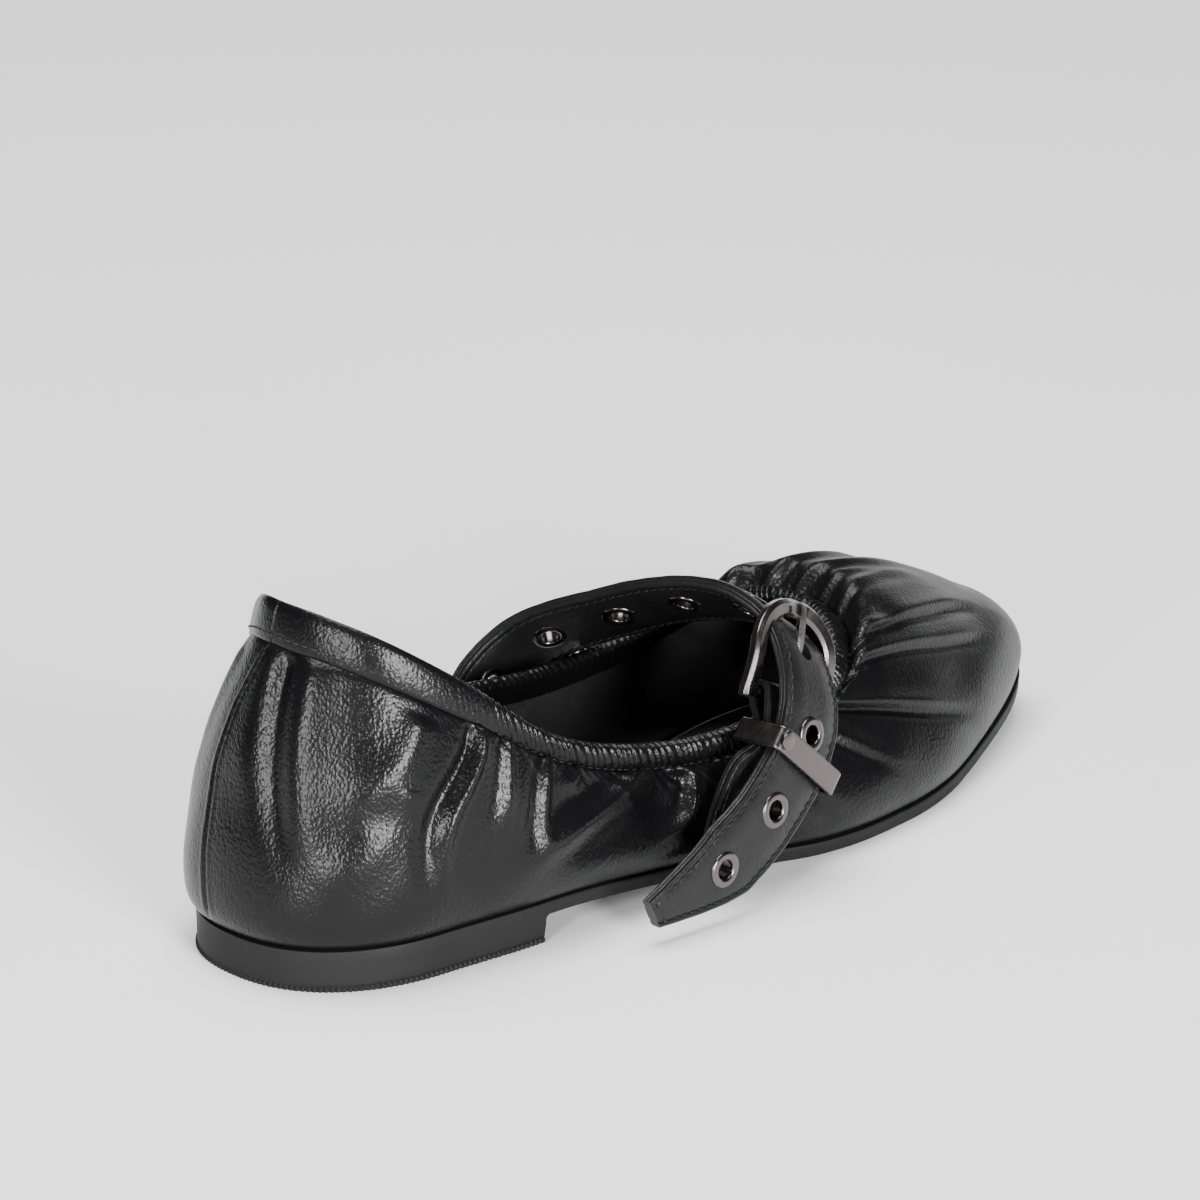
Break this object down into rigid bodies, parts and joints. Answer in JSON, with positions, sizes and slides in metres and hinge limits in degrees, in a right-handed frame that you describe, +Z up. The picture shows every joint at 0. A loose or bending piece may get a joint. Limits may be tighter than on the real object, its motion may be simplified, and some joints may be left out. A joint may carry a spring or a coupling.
{
  "type": "ballet flat",
  "caption": "Women's ballet flat in black gathered leather with an elastic topline, a low moulded heel, and an eyelet strap with a buckle and a loop over the instep.",
  "frame": {"origin": "the centre of the heel's flat bottom, on the floor", "axes": "+X points to the toe along the shoe's length, +Y to the inner (medial) side, -Y to the outer (lateral) side, +Z up"},
  "size_m": [0.247, 0.0922, 0.0815],
  "materials": {
    "gathered_leather": "glossy crinkled nappa",
    "strap_leather": "satin",
    "lining": "matte",
    "sole_rubber": "matte",
    "dark_nickel": "dark polished"
  },
  "bodies": {
    "root": {"outsole": "sole_rubber", "insole": "lining", "upper": "gathered_leather", "strap": "strap_leather", "buckle_strap": "strap_leather", "eyelet_1": "dark_nickel", "eyelet_2": "dark_nickel", "eyelet_3": "dark_nickel", "eyelet_4": "dark_nickel", "eyelet_5": "dark_nickel", "eyelet_6": "dark_nickel", "eyelet_7": "dark_nickel", "eyelet_8": "dark_nickel", "buckle_frame": "dark_nickel", "buckle_pin": "dark_nickel", "buckle_prong": "dark_nickel", "keeper": "dark_nickel"}
  },
  "joints": []
}
